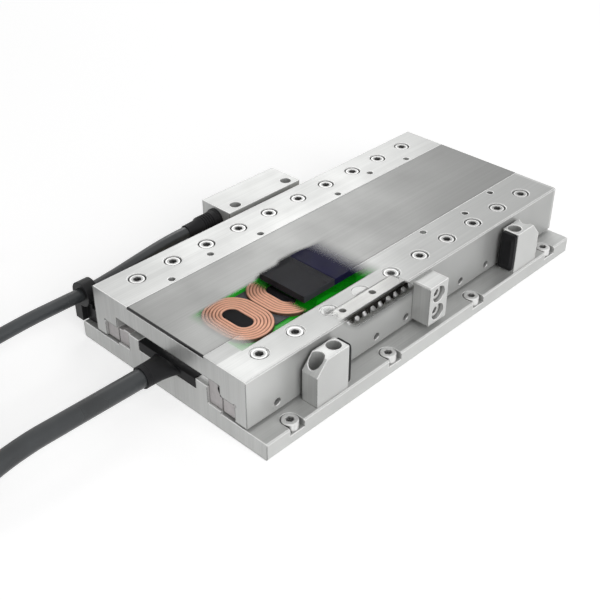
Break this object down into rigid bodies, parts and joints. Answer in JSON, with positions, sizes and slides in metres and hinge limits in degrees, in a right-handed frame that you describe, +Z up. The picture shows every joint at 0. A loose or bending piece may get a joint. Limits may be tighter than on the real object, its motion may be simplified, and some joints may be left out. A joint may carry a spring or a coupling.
{
  "type": "linear motor stage",
  "caption": "Low-profile ironless linear motor stage: flat carriage on crossed-roller rails over a flanged base, with side encoder, end stops and two cables.",
  "frame": {"origin": "centre of the base's mounting face", "axes": "+X along the travel, away from the cable end; +Y towards the encoder side; +Z up, out of the payload face"},
  "size_m": [0.2879, 0.1584, 0.0244],
  "materials": {
    "machined_aluminium": "fine-milled satin",
    "cover_steel": "brushed along the travel",
    "rail_steel": "ground",
    "end_steel": "ground, warm grey",
    "screw_steel": "turned, bright",
    "dark_screw_steel": "black oxide",
    "roller_steel": "polished",
    "cage_resin": "moulded",
    "motor_resin": "cast, semi-gloss black",
    "board_green": "green solder mask",
    "carrier_grey": "dark grey",
    "copper_wire": "enamelled copper winding",
    "magnet_grey": "coated dark grey",
    "magnet_blue": "coated indigo",
    "bumper_rubber": "moulded black",
    "cable_jacket": "smooth dark grey jacket",
    "boot_rubber": "moulded black",
    "clip_plastic": "moulded black",
    "connector_metal": "nickel plated",
    "scale_tape": "gold graduated tape",
    "window_dark": "dark reading window"
  },
  "bodies": {
    "base": {"base_plate": "machined_aluminium", "inner_rail_front": "rail_steel", "inner_rail_rear": "rail_steel", "inner_rail_screws": "dark_screw_steel", "base_rail_ends": "end_steel", "motor_body": "motor_resin", "coil_board": "board_green", "coil_carrier": "carrier_grey", "coil_cores": "motor_resin", "coils_u": "copper_wire", "coils_v": "copper_wire", "coils_w": "copper_wire", "motor_strain_relief": "boot_rubber", "motor_cable": "cable_jacket", "motor_cable_coil": "cable_jacket", "motor_connector": "connector_metal", "flange_screws": "screw_steel", "stop_left": "machined_aluminium", "stop_left_screws": "screw_steel", "bumper_left": "bumper_rubber", "stop_right": "machined_aluminium", "stop_right_screws": "screw_steel", "bumper_right": "bumper_rubber", "encoder_box": "machined_aluminium", "encoder_read_head": "window_dark", "encoder_box_screws": "dark_screw_steel", "encoder_grommet": "boot_rubber", "encoder_cable": "cable_jacket", "encoder_cable_coil": "cable_jacket", "encoder_connector": "connector_metal", "cable_clip": "clip_plastic", "cable_clip_screw": "screw_steel"},
    "carriage": {"carriage": "machined_aluminium", "centre_cover": "cover_steel", "outer_rail_front": "rail_steel", "outer_rail_rear": "rail_steel", "carriage_rail_ends": "end_steel", "rail_screws_front": "screw_steel", "rail_screws_rear": "screw_steel", "preload_screws": "dark_screw_steel", "magnet_yoke": "cover_steel", "magnets_north": "magnet_grey", "magnets_south": "magnet_blue", "stop_dog": "machined_aluminium", "stop_dog_screws": "screw_steel", "encoder_scale": "scale_tape"},
    "front_cage": {"cage_front": "cage_resin", "rollers_front": "roller_steel"},
    "rear_cage": {"cage_rear": "cage_resin", "rollers_rear": "roller_steel"}
  },
  "joints": [
    {"name": "carriage_slide", "type": "slide", "parent": "base", "child": "carriage", "axis": [1, 0, 0], "range_m": [-0.0375, 0.0375]},
    {"name": "front_cage_slide", "type": "slide", "parent": "base", "child": "front_cage", "axis": [1, 0, 0], "range_m": [-0.01875, 0.01875]},
    {"name": "rear_cage_slide", "type": "slide", "parent": "base", "child": "rear_cage", "axis": [1, 0, 0], "range_m": [-0.01875, 0.01875]}
  ],
  "couplings": [
    {"joint": "front_cage_slide", "follows": "carriage_slide", "ratio": 0.5},
    {"joint": "rear_cage_slide", "follows": "carriage_slide", "ratio": 0.5}
  ]
}
